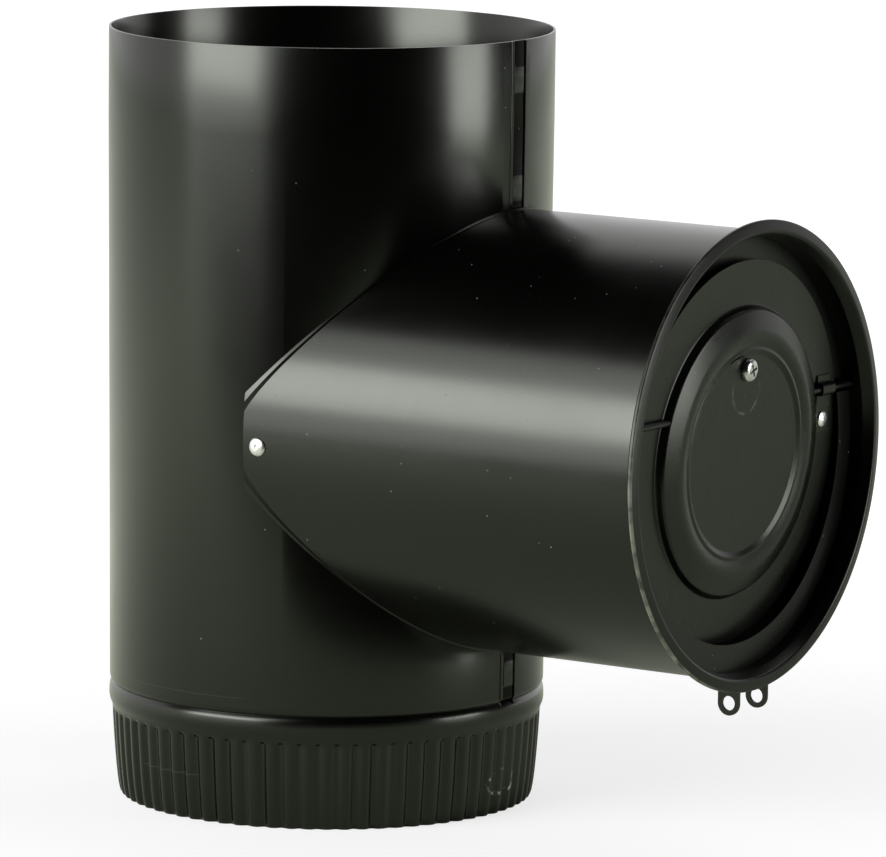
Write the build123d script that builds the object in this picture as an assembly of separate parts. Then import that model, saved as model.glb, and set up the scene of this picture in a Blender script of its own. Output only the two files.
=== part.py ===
from build123d import *
from math import atan2, cos, pi, sin, sqrt, tan
import os

# A stove pipe tee in millimetres. The run's axis is Z and its crimped end stands on z = 0.
# The branch leaves along +X and holds a draft regulator, whose round gate swings on a cross rod.

# Run pipe
RUN_HEIGHT = 267.0
RUN_RADIUS = 76.8
RUN_TAPER = 1.4
RUN_WALL = 0.76
SOCKET_DEPTH = 30.0
RUN_OPENING_INSET = 5.5

# Bead and band between the straight wall and the crimps
BEAD_HEIGHT = 39.4
BEAD_DEPTH = 0.9
BEAD_HALF_WIDTH = 1.3
BAND_BULGE = 0.2
BAND_FOOT_INSET = 0.9

# Crimped end
CRIMP_HEIGHT = 31.0
CRIMP_COUNT = 72
CRIMP_DEPTH = 1.5
CRIMP_RUN_OUT = 4.5
CRIMP_TOP_INSET = 0.2
CRIMP_FOOT_INSET = 4.2
CREST_SHARE = 0.56
VALLEY_SHARE = 0.12

# Lock seam of the run, on the branch side
SEAM_CENTRE_Y = 0.6
SEAM_WIDTH = 7.6
SEAM_DEPTH = 0.42
RIDGE_WIDTH = 1.3
RIDGE_HEIGHT = 0.35
SEAM_ROOT = 0.6
BUTTON_WIDTH = 6.4
BUTTON_LENGTH = 8.6
BUTTON_HEIGHT = 0.3
BUTTON_BELOW_TOP = 13.4
BUTTON_ABOVE_SADDLE = 7.2
BUTTON_ABOVE_BEAD = 9.7

# Branch collar and its saddle
BRANCH_ABOVE_BEAD = 19.0
BRANCH_REACH = 175.0
BRANCH_NARROWER = 1.3
BRANCH_WALL = 0.6
SADDLE_GAP = 0.05
SADDLE_LIP = 0.5
SADDLE_TIP_X = 17.0

# Blind rivets
RIVET_HEAD_RADIUS = 3.2
RIVET_HEAD_HEIGHT = 1.3
RIVET_SHANK_RADIUS = 1.6
RIVET_BULB_RADIUS = 2.4
RIVET_BULB_LENGTH = 3.0
RIVET_BULB_ROUNDING = 1.0
RIVET_HOLE_GAP = 0.03
SADDLE_RIVET_INSET = 6.0
SADDLE_RIVET_DROP = 1.9

# Regulator sleeve
SLEEVE_WALL = 0.45
SLEEVE_DEPTH = 26.0
FLARE_DEPTH = 4.0
FLARE_WIDTH = 1.8
RIM_WIDTH = 4.3
HEM_WIDTH = 2.0
HEM_THICKNESS = 1.3
HEM_ROUNDING = 0.6
FLARE_BEND = 3.0
RIM_BEND = 1.6

# Two half rings in the sleeve that stop the gate: the lower one lies in front of it, the upper one behind it
STOP_DEPTH = 8.0
STOP_WIDTH = 9.2
STOP_GAP = 0.8
STOP_SLOT_HALF = 2.2

# Split clamp ring between the sleeve and the branch collar, and its two ears
RING_GAP = 0.3
RING_WALL = 0.5
RING_DEPTH = 24.0
RING_FLANGE_GAP = 0.3
RING_COLLAR_GAP = 0.35
COLLAR_SETBACK = 4.6
SPLIT_CENTRE_Y = 1.6
SPLIT_WIDTH = 17.0
EAR_THICKNESS = 0.8
EAR_RADIUS = 4.2
EAR_SETBACK = 6.1
EAR_HOLE_RADIUS = 2.45
EAR_BELOW_RIM = 3.7
NOTCH_GAP = 0.6

# Gate, drawn closed and then swung to where it rests
GATE_LAP = 0.9
GATE_WALL = 0.45
GATE_RAISE = 0.6
GATE_REST_DEG = 3.2
HAT_INSET = 15.4
HAT_HEIGHT = 5.0
HAT_WALL_LEAN = 1.3
SHOULDER_DROP = 0.6
CREST_INSET = 6.6
GROOVE_INSET = 13.2
GROOVE_HEIGHT = 4.0
DISH_INSET = 14.4
DISH_HEIGHT = 4.3
DISC_INSET = 16.1
DISC_HEIGHT = 3.4
GATE_BENDS = (1.5, 0.6, 0.8, 8.0, 1.6, 0.9)

# Gate axle, with the clip that is riveted over it
AXLE_BELOW_SCREW = 13.0
AXLE_RADIUS = 1.2
AXLE_SEAT_GAP = 0.02
AXLE_HOLE_GAP = 0.06
CLIP_WALL = 0.5
CLIP_WIDTH = 8.0
CLIP_INSET = 10.1
CLIP_FOOT = 15.0
CLIP_TOE = 4.6
CLIP_ARCH_GAP = 0.08
CLIP_ARCH_HALF = 1.75
CLIP_BENDS = (0.4, 1.1, 1.1, 0.4)
CLIP_RIVET_DROP = 10.6
CLIP_RIVET_HEAD_RADIUS = 2.8
CLIP_RIVET_HEAD_HEIGHT = 1.0
CLIP_RIVET_BULB_LENGTH = 2.2

# Adjusting screw with the balance weight behind the gate
SCREW_INSET = 5.0
SCREW_Y = -0.8
SCREW_RADIUS = 2.0
SCREW_HEAD_RADIUS = 4.0
SCREW_HEAD_HEIGHT = 2.4
SCREW_HEAD_ROUNDING = 1.3
SCREW_TAIL = 1.2
RECESS_REACH = 2.3
RECESS_WIDTH = 0.9
RECESS_DEPTH = 1.3
SCREW_HOLE_GAP = 0.06
WEIGHT_RADIUS = 9.0
WEIGHT_OFFSET = 6.0
WEIGHT_THICKNESS = 3.5
WEIGHT_EDGE = 0.5
WEIGHT_GAP = 0.45
WASHER_RADIUS = 4.5
WASHER_THICKNESS = 0.8
NUT_ACROSS_FLATS = 7.0
NUT_THICKNESS = 3.2
NUT_CORNER_CUT = 0.4
FACE_GAP = 0.05

# Places that follow from the sizes above
BAND_TOP = BEAD_HEIGHT - BEAD_HALF_WIDTH
RUN_FOOT_RADIUS = RUN_RADIUS - RUN_TAPER
BRANCH_RADIUS = RUN_RADIUS - BRANCH_NARROWER
BRANCH_HEIGHT = BEAD_HEIGHT + BRANCH_ABOVE_BEAD + BRANCH_RADIUS
RUN_OPENING_RADIUS = BRANCH_RADIUS - RUN_OPENING_INSET
SADDLE_RIVET_X = SADDLE_TIP_X + SADDLE_RIVET_INSET
SLEEVE_RADIUS = BRANCH_RADIUS - BRANCH_WALL - RING_COLLAR_GAP - RING_WALL - RING_GAP - SLEEVE_WALL
RIM_INNER_RADIUS = SLEEVE_RADIUS + FLARE_WIDTH
RIM_RADIUS = RIM_INNER_RADIUS + RIM_WIDTH
EAR_HOLE_DROP = RIM_RADIUS + EAR_BELOW_RIM
RING_FLANGE_RADIUS = RIM_RADIUS - HEM_WIDTH - RING_FLANGE_GAP
STOP_RADIUS = SLEEVE_RADIUS - STOP_WIDTH
GATE_RADIUS = STOP_RADIUS + GATE_LAP
HAT_RADIUS = GATE_RADIUS - HAT_INSET
CLIP_CENTRE_Y = GATE_RADIUS - CLIP_INSET
SCREW_RAISE = GATE_RAISE + HAT_RADIUS - DISC_INSET - SCREW_INSET
PIVOT_RAISE = SCREW_RAISE - AXLE_BELOW_SCREW
GATE_FRONT_X = BRANCH_REACH - STOP_DEPTH - SLEEVE_WALL - STOP_GAP
PIVOT_X = GATE_FRONT_X + AXLE_RADIUS + AXLE_SEAT_GAP
PIVOT_Z = BRANCH_HEIGHT + PIVOT_RAISE
COLLAR_END_X = BRANCH_REACH - COLLAR_SETBACK
FAR = 4 * RUN_HEIGHT


def along_x(radius, start, end, height=BRANCH_HEIGHT, y=0.0):
    """Round bar along X between two places."""
    bar = Plane.YZ * Cylinder(radius, end - start, align=(Align.CENTER, Align.CENTER, Align.MIN))
    return Pos(start, y, height) * bar


def along_y(radius, start, end, x, height):
    """Round bar along Y between two places."""
    bar = Rot(-90, 0, 0) * Cylinder(radius, end - start, align=(Align.CENTER, Align.CENTER, Align.MIN))
    return Pos(x, start, height) * bar


def block(x_range, y_range, z_range):
    """Box given by its limits on the three axes."""
    sizes = [high - low for low, high in (x_range, y_range, z_range)]
    return Pos(x_range[0], y_range[0], z_range[0]) * Box(*sizes, align=(Align.MIN,) * 3)


def sheet_section(points, radii, thickness, side):
    """Section of a bent sheet: one of its faces is a rounded polyline, and the other lies to one side."""
    line = FilletPolyline(*points, radius=radii)
    return Plane.XZ * make_face(line.offset_2d(thickness, side=side).edges())


def spun_about_branch(section):
    """Turns a section of (place along X, radius) about the branch's axis."""
    return Pos(0, 0, BRANCH_HEIGHT) * revolve(section, Axis.X, 360)


def spun_about_run(section):
    """Turns a section of (radius, height) about the run's axis, starting away from the branch."""
    return Rot(0, 0, 180) * revolve(section, Axis.Z, 360)


def run_radius(z):
    """Outside radius of the run's wall at a height: straight at the socket, then a slight taper."""
    straight_from = RUN_HEIGHT - SOCKET_DEPTH
    taper_to = BEAD_HEIGHT + BEAD_HALF_WIDTH
    share = min(1.0, max(0.0, (z - taper_to) / (straight_from - taper_to)))
    return RUN_FOOT_RADIUS + (RUN_RADIUS - RUN_FOOT_RADIUS) * share


def run_line(step):
    """Edges of the run's outside, from the top down to the crimps, moved outwards by a step."""
    def at(radius, z):
        return (radius + step, 0, z)

    top = at(RUN_RADIUS, RUN_HEIGHT)
    socket_end = at(RUN_RADIUS, RUN_HEIGHT - SOCKET_DEPTH)
    groove_top = at(RUN_FOOT_RADIUS, BEAD_HEIGHT + BEAD_HALF_WIDTH)
    groove_floor = at(RUN_FOOT_RADIUS - BEAD_DEPTH, BEAD_HEIGHT)
    groove_foot = at(RUN_FOOT_RADIUS, BEAD_HEIGHT - BEAD_HALF_WIDTH)
    band_crown = at(RUN_FOOT_RADIUS + BAND_BULGE, (BEAD_HEIGHT - BEAD_HALF_WIDTH + CRIMP_HEIGHT) / 2)
    band_foot = at(RUN_FOOT_RADIUS - BAND_FOOT_INSET, CRIMP_HEIGHT)
    return [
        Line(top, socket_end),
        Line(socket_end, groove_top),
        Line(groove_top, groove_floor),
        Line(groove_floor, groove_foot),
        ThreePointArc(groove_foot, band_crown, band_foot),
    ]


def run_shell(outer_step, inner_step):
    """Skin that follows the run's outside between two steps from it."""
    outer, inner = run_line(outer_step), run_line(inner_step)
    ends = [Line(outer[0] @ 0, inner[0] @ 0), Line(outer[-1] @ 1, inner[-1] @ 1)]
    return spun_about_run(make_face(outer + inner + ends))


def run_core(step):
    """Everything inside the run's outside, moved outwards by a step."""
    edges = run_line(step)
    top, foot = edges[0] @ 0, edges[-1] @ 1
    edges += [Line(top, (0, 0, top.Z)), Line((0, 0, top.Z), (0, 0, foot.Z)), Line((0, 0, foot.Z), foot)]
    return spun_about_run(make_face(edges))


def crimp_section(z, crest_radius):
    """Wavy closed section of the crimped end: broad crests and narrower valleys."""
    pitch = 2 * pi / CRIMP_COUNT
    points = []
    for number in range(CRIMP_COUNT):
        for centre, share, depth in ((0.0, CREST_SHARE, 0), (0.5, VALLEY_SHARE, CRIMP_DEPTH)):
            for side in (-0.5, 0.5):
                angle = pi + (number + centre + side * share) * pitch
                points.append(((crest_radius - depth) * cos(angle), (crest_radius - depth) * sin(angle), z))
    return make_face(Spline(*points, periodic=True))


def crimp_body(step):
    """Solid with the crimps' outside, moved outwards by a step, from the floor up to the round band."""
    band_radius = RUN_FOOT_RADIUS - BAND_FOOT_INSET
    top_radius = band_radius - CRIMP_TOP_INSET
    foot_radius = RUN_FOOT_RADIUS - CRIMP_FOOT_INSET
    sections = [Pos(0, 0, CRIMP_HEIGHT) * (Rot(0, 0, 180) * make_face(Circle(band_radius + step).edges()))]
    for share in (1.0, 0.5, 0.0):
        radius = foot_radius + (top_radius - foot_radius) * sqrt(share)
        sections.append(crimp_section((CRIMP_HEIGHT - CRIMP_RUN_OUT) * share, radius + step))
    return loft(sections, ruled=True)


def seam_strip(width, centre_y, z_range):
    """Block over the seam's side of the run, used to keep a strip of a skin."""
    return block((0, FAR), (centre_y - width / 2, centre_y + width / 2), z_range)


def make_run_pipe():
    """Rolled run with its lock seam, seam buttons, bead and crimps, and the opening to the branch."""
    pipe = run_shell(0, -RUN_WALL) + (crimp_body(0) - crimp_body(-RUN_WALL))
    seam_range = (BAND_TOP, FAR)
    pipe -= run_shell(1, -SEAM_DEPTH) & seam_strip(SEAM_WIDTH, SEAM_CENTRE_Y, seam_range)

    saddle_top = BRANCH_HEIGHT + BRANCH_RADIUS + SADDLE_LIP + NOTCH_GAP
    saddle_foot = BRANCH_HEIGHT - BRANCH_RADIUS - SADDLE_LIP - NOTCH_GAP
    ridge_y = SEAM_CENTRE_Y - SEAM_WIDTH / 2 - RIDGE_WIDTH / 2
    for z_range in ((saddle_top, RUN_HEIGHT), (BEAD_HEIGHT + BEAD_HALF_WIDTH, saddle_foot)):
        pipe += run_shell(RIDGE_HEIGHT, -SEAM_ROOT) & seam_strip(RIDGE_WIDTH, ridge_y, z_range)

    saddle_button = BRANCH_HEIGHT + BRANCH_RADIUS + BUTTON_ABOVE_SADDLE
    for height in (saddle_button, RUN_HEIGHT - BUTTON_BELOW_TOP, BEAD_HEIGHT + BUTTON_ABOVE_BEAD):
        z_range = (height - BUTTON_LENGTH / 2, height + BUTTON_LENGTH / 2)
        pipe += run_shell(BUTTON_HEIGHT, -SEAM_ROOT) & seam_strip(BUTTON_WIDTH, SEAM_CENTRE_Y, z_range)

    pipe -= along_x(RUN_OPENING_RADIUS, 0, 2 * RUN_RADIUS)
    for y_side in (-1, 1):
        pipe -= rivet_hole(y_side)
    return pipe


def rivet_hole(y_side):
    """Hole through both sheets for one saddle rivet."""
    start, end = sorted((0, y_side * 2 * BRANCH_RADIUS))
    radius = RIVET_SHANK_RADIUS + RIVET_HOLE_GAP
    return along_y(radius, start, end, SADDLE_RIVET_X, BRANCH_HEIGHT - SADDLE_RIVET_DROP)


def make_branch_collar():
    """Branch tube cut to the run's outside, with the lip that lies on the run round the joint."""
    bore_radius = BRANCH_RADIUS - BRANCH_WALL
    tube = along_x(BRANCH_RADIUS, SADDLE_TIP_X, COLLAR_END_X) - run_core(SADDLE_GAP)
    lip = run_shell(SADDLE_GAP + BRANCH_WALL, SADDLE_GAP)
    lip &= along_x(BRANCH_RADIUS + SADDLE_LIP, SADDLE_TIP_X, 2 * RUN_RADIUS)
    collar = tube + lip - along_x(bore_radius, 0, FAR)

    notch_half = SPLIT_WIDTH / 2 + EAR_THICKNESS + NOTCH_GAP
    notch_start = BRANCH_REACH - EAR_SETBACK - EAR_RADIUS - NOTCH_GAP
    y_range = (SPLIT_CENTRE_Y - notch_half, SPLIT_CENTRE_Y + notch_half)
    collar -= block((notch_start, FAR), y_range, (-FAR, BRANCH_HEIGHT))
    for y_side in (-1, 1):
        collar -= rivet_hole(y_side)
    return collar


def blind_rivet(head_radius, head_height, grip, bulb_length):
    """Blind rivet that points along -Z: domed head on z = 0, shank through the grip, bulb behind it."""
    dome_radius = (head_radius ** 2 + head_height ** 2) / (2 * head_height)
    dome = Pos(0, 0, head_height - dome_radius) * Sphere(dome_radius)
    floor = (Align.CENTER, Align.CENTER, Align.MIN)
    head = dome & Cylinder(head_radius, head_height, align=floor)
    shank = Pos(0, 0, -grip) * Cylinder(RIVET_SHANK_RADIUS, grip, align=floor)
    bulb = Cylinder(RIVET_BULB_RADIUS, bulb_length, align=(Align.CENTER, Align.CENTER, Align.MAX))
    bulb = fillet(bulb.edges().filter_by(GeomType.CIRCLE), RIVET_BULB_ROUNDING)
    return head + shank + Pos(0, 0, -grip) * bulb


def make_saddle_rivets():
    """The two rivets that hold the saddle's tips to the run."""
    inner_y = sqrt((run_radius(BRANCH_HEIGHT) - RUN_WALL) ** 2 - (SADDLE_RIVET_X + RIVET_BULB_RADIUS) ** 2)
    grip = BRANCH_RADIUS + FACE_GAP - inner_y + RIVET_HEAD_HEIGHT
    rivet = blind_rivet(RIVET_HEAD_RADIUS, RIVET_HEAD_HEIGHT, grip, RIVET_BULB_LENGTH)
    place_z = BRANCH_HEIGHT - SADDLE_RIVET_DROP
    near = Pos(SADDLE_RIVET_X, -BRANCH_RADIUS - FACE_GAP, place_z) * (Rot(90, 0, 0) * rivet)
    far = Pos(SADDLE_RIVET_X, BRANCH_RADIUS + FACE_GAP, place_z) * (Rot(-90, 0, 0) * rivet)
    return Compound(children=[near, far])


def mouth_line(step, depth, outer_radius):
    """Line along the mouth, a step behind the sleeve's face: straight wall, flare and rim face."""
    flare_turn = atan2(RIM_INNER_RADIUS - SLEEVE_RADIUS, FLARE_DEPTH)
    rim_turn = pi / 2 - flare_turn
    points = [
        (BRANCH_REACH - depth, SLEEVE_RADIUS + step),
        (BRANCH_REACH - FLARE_DEPTH - step * tan(flare_turn / 2), SLEEVE_RADIUS + step),
        (BRANCH_REACH - step, RIM_INNER_RADIUS + step * tan(rim_turn / 2)),
        (BRANCH_REACH - step, outer_radius),
    ]
    return points, (FLARE_BEND - step, RIM_BEND - step)


def mouth_sheet(step, thickness, depth, outer_radius):
    """Sheet spun along the mouth's line."""
    points, bends = mouth_line(step, depth, outer_radius)
    return spun_about_branch(sheet_section(points, bends, thickness, Side.LEFT))


def mouth_core(step):
    """Everything inside and in front of the mouth's line."""
    points, bends = mouth_line(step, BRANCH_REACH, 2 * RIM_RADIUS)
    line = FilletPolyline(*points, radius=bends)
    front_x = 2 * BRANCH_REACH
    rest = Polyline(line @ 1, (front_x, 2 * RIM_RADIUS), (front_x, 0), (0, 0), line @ 0)
    return spun_about_branch(Plane.XZ * make_face(line.edges() + rest.edges()))


def make_regulator_sleeve():
    """Sleeve with its flared and hemmed rim."""
    sleeve = mouth_sheet(0, SLEEVE_WALL, SLEEVE_DEPTH, RIM_RADIUS - HEM_ROUNDING)
    hem_x = (BRANCH_REACH - HEM_THICKNESS, BRANCH_REACH)
    corners = [(hem_x[0], RIM_RADIUS - HEM_WIDTH), (hem_x[1], RIM_RADIUS - HEM_WIDTH),
               (hem_x[1], RIM_RADIUS), (hem_x[0], RIM_RADIUS)]
    hem = fillet(make_face(Polyline(*corners, close=True)).vertices().group_by(Axis.Y)[-1], HEM_ROUNDING)
    sleeve += spun_about_branch(Plane.XZ * hem)

    return sleeve - along_y(AXLE_RADIUS + AXLE_HOLE_GAP, -FAR, FAR, PIVOT_X, PIVOT_Z)


def make_stop_rings():
    """The two half rings that the closed gate rests on."""
    front_x = BRANCH_REACH - STOP_DEPTH
    back_x = GATE_FRONT_X - GATE_WALL - STOP_GAP
    low, high = (-FAR, PIVOT_Z - STOP_SLOT_HALF), (PIVOT_Z + STOP_SLOT_HALF, FAR)
    halves = []
    for face_x, z_range in ((front_x, low), (back_x, high)):
        ring = along_x(SLEEVE_RADIUS - FACE_GAP, face_x - SLEEVE_WALL, face_x)
        ring -= along_x(STOP_RADIUS, 0, FAR)
        halves.append(ring & block((0, FAR), (-FAR, FAR), z_range))
    return Compound(children=halves)


def make_clamp_ring():
    """Split ring between the sleeve and the collar."""
    ring = mouth_sheet(SLEEVE_WALL + RING_GAP, RING_WALL, RING_DEPTH, RING_FLANGE_RADIUS)
    split = (SPLIT_CENTRE_Y - SPLIT_WIDTH / 2, SPLIT_CENTRE_Y + SPLIT_WIDTH / 2)
    return ring - block((0, FAR), split, (-FAR, BRANCH_HEIGHT))


def make_clamp_ears():
    """The two drilled ears that hang from the ends of the clamp ring."""
    ear_x = BRANCH_REACH - EAR_SETBACK
    hole_z = BRANCH_HEIGHT - EAR_HOLE_DROP
    core = mouth_core(SLEEVE_WALL + RING_GAP + RING_WALL + FACE_GAP)
    ears = []
    for side in (-1, 1):
        end_y = SPLIT_CENTRE_Y + side * SPLIT_WIDTH / 2
        low_y, high_y = sorted((end_y, end_y + side * EAR_THICKNESS))
        plate = block((ear_x - EAR_RADIUS, ear_x + EAR_RADIUS), (low_y, high_y), (hole_z, BRANCH_HEIGHT))
        ear = plate + along_y(EAR_RADIUS, low_y, high_y, ear_x, hole_z) - core
        ears.append(ear - along_y(EAR_HOLE_RADIUS, -FAR, FAR, ear_x, hole_z))
    return Compound(children=ears)


def swung(shape):
    """Turns a piece of the gate about the axle from closed to where it rests."""
    axle = Axis((PIVOT_X, 0, PIVOT_Z), (0, 1, 0))
    return shape.rotate(axle, GATE_REST_DEG)


def make_gate():
    """Pressed gate: flat ring, raised beaded hat and inner disc, from one sheet."""
    points = [
        (GATE_FRONT_X + DISC_HEIGHT, 0),
        (GATE_FRONT_X + DISC_HEIGHT, HAT_RADIUS - DISC_INSET),
        (GATE_FRONT_X + DISH_HEIGHT, HAT_RADIUS - DISH_INSET),
        (GATE_FRONT_X + GROOVE_HEIGHT, HAT_RADIUS - GROOVE_INSET),
        (GATE_FRONT_X + HAT_HEIGHT, HAT_RADIUS - CREST_INSET),
        (GATE_FRONT_X + HAT_HEIGHT - SHOULDER_DROP, HAT_RADIUS - HAT_WALL_LEAN),
        (GATE_FRONT_X, HAT_RADIUS),
        (GATE_FRONT_X, GATE_RADIUS),
    ]
    section = sheet_section(points, GATE_BENDS, GATE_WALL, Side.LEFT)
    gate = Pos(0, 0, GATE_RAISE) * spun_about_branch(section)
    gate -= axle_bar(AXLE_RADIUS + AXLE_HOLE_GAP, HAT_RADIUS)
    gate -= along_x(SCREW_RADIUS + SCREW_HOLE_GAP, 0, FAR, BRANCH_HEIGHT + SCREW_RAISE, SCREW_Y)
    gate -= clip_rivet_hole()
    return swung(gate)


def axle_bar(radius, half_length):
    """Round bar on the gate's pivot line."""
    return along_y(radius, -half_length, half_length, PIVOT_X, PIVOT_Z)


def make_gate_axle():
    """Cross rod whose ends turn in the sleeve's wall."""
    half_length = sqrt((SLEEVE_RADIUS + SLEEVE_WALL) ** 2 - (PIVOT_RAISE + AXLE_RADIUS) ** 2)
    return swung(axle_bar(AXLE_RADIUS, half_length))


def clip_rivet_hole():
    """Hole through the clip and the gate for the clip's rivet."""
    radius = RIVET_SHANK_RADIUS + RIVET_HOLE_GAP
    return along_x(radius, 0, FAR, PIVOT_Z - CLIP_RIVET_DROP, CLIP_CENTRE_Y)


def make_axle_clip():
    """Strap bent over the axle and riveted to the gate's ring."""
    base_x = GATE_FRONT_X + AXLE_SEAT_GAP
    arch_x = PIVOT_X + AXLE_RADIUS + CLIP_ARCH_GAP
    points = [
        (base_x, PIVOT_Z - CLIP_FOOT),
        (base_x, PIVOT_Z - CLIP_ARCH_HALF),
        (arch_x, PIVOT_Z - CLIP_ARCH_HALF),
        (arch_x, PIVOT_Z + CLIP_ARCH_HALF),
        (base_x, PIVOT_Z + CLIP_ARCH_HALF),
        (base_x, PIVOT_Z + CLIP_TOE),
    ]
    section = sheet_section(points, CLIP_BENDS, CLIP_WALL, Side.RIGHT)
    clip = extrude(section, CLIP_WIDTH / 2, both=True)
    clip = Pos(0, CLIP_CENTRE_Y, 0) * clip - clip_rivet_hole()
    return swung(clip)


def make_clip_rivet():
    """The rivet of the axle clip."""
    grip = CLIP_WALL + AXLE_SEAT_GAP + GATE_WALL + 2 * FACE_GAP
    rivet = blind_rivet(CLIP_RIVET_HEAD_RADIUS, CLIP_RIVET_HEAD_HEIGHT, grip, CLIP_RIVET_BULB_LENGTH)
    place = Pos(GATE_FRONT_X + AXLE_SEAT_GAP + CLIP_WALL + FACE_GAP, CLIP_CENTRE_Y, PIVOT_Z - CLIP_RIVET_DROP)
    return swung(place * (Rot(0, 90, 0) * rivet))


def on_screw_line(shape, x):
    """Places a piece that was made along +Z on the adjusting screw's axis, facing out of the mouth."""
    place = Pos(x, SCREW_Y, BRANCH_HEIGHT + SCREW_RAISE)
    return swung(place * (Rot(0, 90, 0) * shape))


DISC_FRONT_X = GATE_FRONT_X + DISC_HEIGHT
WEIGHT_FRONT_X = DISC_FRONT_X - GATE_WALL - WEIGHT_GAP
WASHER_FRONT_X = WEIGHT_FRONT_X - WEIGHT_THICKNESS - FACE_GAP
NUT_FRONT_X = WASHER_FRONT_X - WASHER_THICKNESS - FACE_GAP


def make_adjusting_screw():
    """Pan-head screw with a cross recess, through the gate's inner disc."""
    floor = (Align.CENTER, Align.CENTER, Align.MIN)
    head = Cylinder(SCREW_HEAD_RADIUS, SCREW_HEAD_HEIGHT, align=floor)
    head = fillet(head.edges().filter_by(GeomType.CIRCLE).sort_by(Axis.Z)[-1], SCREW_HEAD_ROUNDING)
    bar = Box(2 * RECESS_REACH, RECESS_WIDTH, RECESS_DEPTH)
    cross = bar + Rot(0, 0, 90) * bar
    head -= Pos(0, 0, SCREW_HEAD_HEIGHT - RECESS_DEPTH / 2) * cross
    length = DISC_FRONT_X - NUT_FRONT_X + NUT_THICKNESS + SCREW_TAIL
    shank = Cylinder(SCREW_RADIUS, length, align=(Align.CENTER, Align.CENTER, Align.MAX))
    return on_screw_line(head + shank, DISC_FRONT_X + FACE_GAP)


def make_balance_weight():
    """Round weight hung off its centre on the screw, so that turning it shifts the gate's balance."""
    weight = Cylinder(WEIGHT_RADIUS, WEIGHT_THICKNESS, align=(Align.CENTER, Align.CENTER, Align.MAX))
    weight = chamfer(weight.edges().filter_by(GeomType.CIRCLE), WEIGHT_EDGE)
    weight = Pos(-WEIGHT_OFFSET, 0, 0) * weight
    weight -= Cylinder(SCREW_RADIUS + SCREW_HOLE_GAP, FAR)
    return on_screw_line(weight, WEIGHT_FRONT_X)


def make_weight_washer():
    """Flat washer between the weight and the nut."""
    backwards = (Align.CENTER, Align.CENTER, Align.MAX)
    washer = Cylinder(WASHER_RADIUS, WASHER_THICKNESS, align=backwards)
    return on_screw_line(washer - Cylinder(SCREW_RADIUS + SCREW_HOLE_GAP, FAR), WASHER_FRONT_X)


def make_weight_nut():
    """Hexagon nut on the adjusting screw, with its corners turned off."""
    hexagon = RegularPolygon(NUT_ACROSS_FLATS / 2, 6, major_radius=False)
    nut = extrude(hexagon, -NUT_THICKNESS)
    corner_radius = NUT_ACROSS_FLATS / sqrt(3)
    turned = Cylinder(corner_radius, NUT_THICKNESS, align=(Align.CENTER, Align.CENTER, Align.MAX))
    nut &= chamfer(turned.edges().filter_by(GeomType.CIRCLE), NUT_CORNER_CUT)
    return on_screw_line(nut - Cylinder(SCREW_RADIUS + SCREW_HOLE_GAP, FAR), NUT_FRONT_X)


def main():
    """Builds every piece and writes one file for each."""
    pieces = {
        "run_pipe": make_run_pipe(),
        "branch_collar": make_branch_collar(),
        "saddle_rivets": make_saddle_rivets(),
        "clamp_ring": make_clamp_ring(),
        "clamp_ears": make_clamp_ears(),
        "regulator_sleeve": make_regulator_sleeve(),
        "stop_rings": make_stop_rings(),
        "gate": make_gate(),
        "gate_axle": make_gate_axle(),
        "axle_clip": make_axle_clip(),
        "clip_rivet": make_clip_rivet(),
        "adjusting_screw": make_adjusting_screw(),
        "balance_weight": make_balance_weight(),
        "weight_washer": make_weight_washer(),
        "weight_nut": make_weight_nut(),
    }
    os.makedirs("parts", exist_ok=True)
    for node, shape in pieces.items():
        export_step(shape, f"parts/{node}.step")


main()
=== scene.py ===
"""Dresses a black stove pipe tee, whose branch holds a barometric draft regulator.

Every length in a dataclass is in millimetres. Blender's own objects are in metres, in the frame of the
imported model: the run's axis is Z, the branch leaves along +X, and the crimped end stands on z = 0.
"""

import logging
import math
import random
from dataclasses import dataclass, field
from enum import Enum
from typing import Callable, Sequence

import bmesh
import bpy
from mathutils import Matrix, Vector


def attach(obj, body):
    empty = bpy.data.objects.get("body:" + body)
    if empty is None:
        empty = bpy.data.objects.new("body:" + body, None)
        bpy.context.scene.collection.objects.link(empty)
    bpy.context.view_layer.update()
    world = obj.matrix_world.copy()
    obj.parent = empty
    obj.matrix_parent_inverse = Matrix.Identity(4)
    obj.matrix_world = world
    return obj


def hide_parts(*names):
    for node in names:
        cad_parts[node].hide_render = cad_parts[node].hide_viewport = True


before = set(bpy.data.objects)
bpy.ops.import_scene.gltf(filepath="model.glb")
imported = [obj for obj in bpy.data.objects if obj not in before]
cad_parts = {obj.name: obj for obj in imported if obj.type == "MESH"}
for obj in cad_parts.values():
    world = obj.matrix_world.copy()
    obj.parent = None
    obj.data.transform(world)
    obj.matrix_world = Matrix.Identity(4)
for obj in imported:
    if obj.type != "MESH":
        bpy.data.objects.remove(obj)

LOG = logging.getLogger("stove_pipe_tee")
MM = 0.001

Point = tuple[float, float]
Colour = tuple[float, float, float]
Test = Callable[[Vector], bool]


class Slot(Enum):
    """The record's material slots."""

    BODY = "black_paint"
    GATE = "gate_paint"
    ZINC = "zinc"
    RIVET = "rivet_metal"


# ---- Tools of the bench ----


def clear_selection() -> None:
    """Leaves edit mode and deselects every object."""
    if bpy.context.mode != "OBJECT":
        bpy.ops.object.mode_set(mode="OBJECT")
    bpy.ops.object.select_all(action="DESELECT")


def take(piece: bpy.types.Object) -> bpy.types.Object:
    """Makes one object the only selected one, and the active one.

    Args:
        piece: the object to work on.

    Returns:
        The same object.
    """
    clear_selection()
    piece.select_set(True)
    bpy.context.view_layer.objects.active = piece
    return piece


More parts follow.
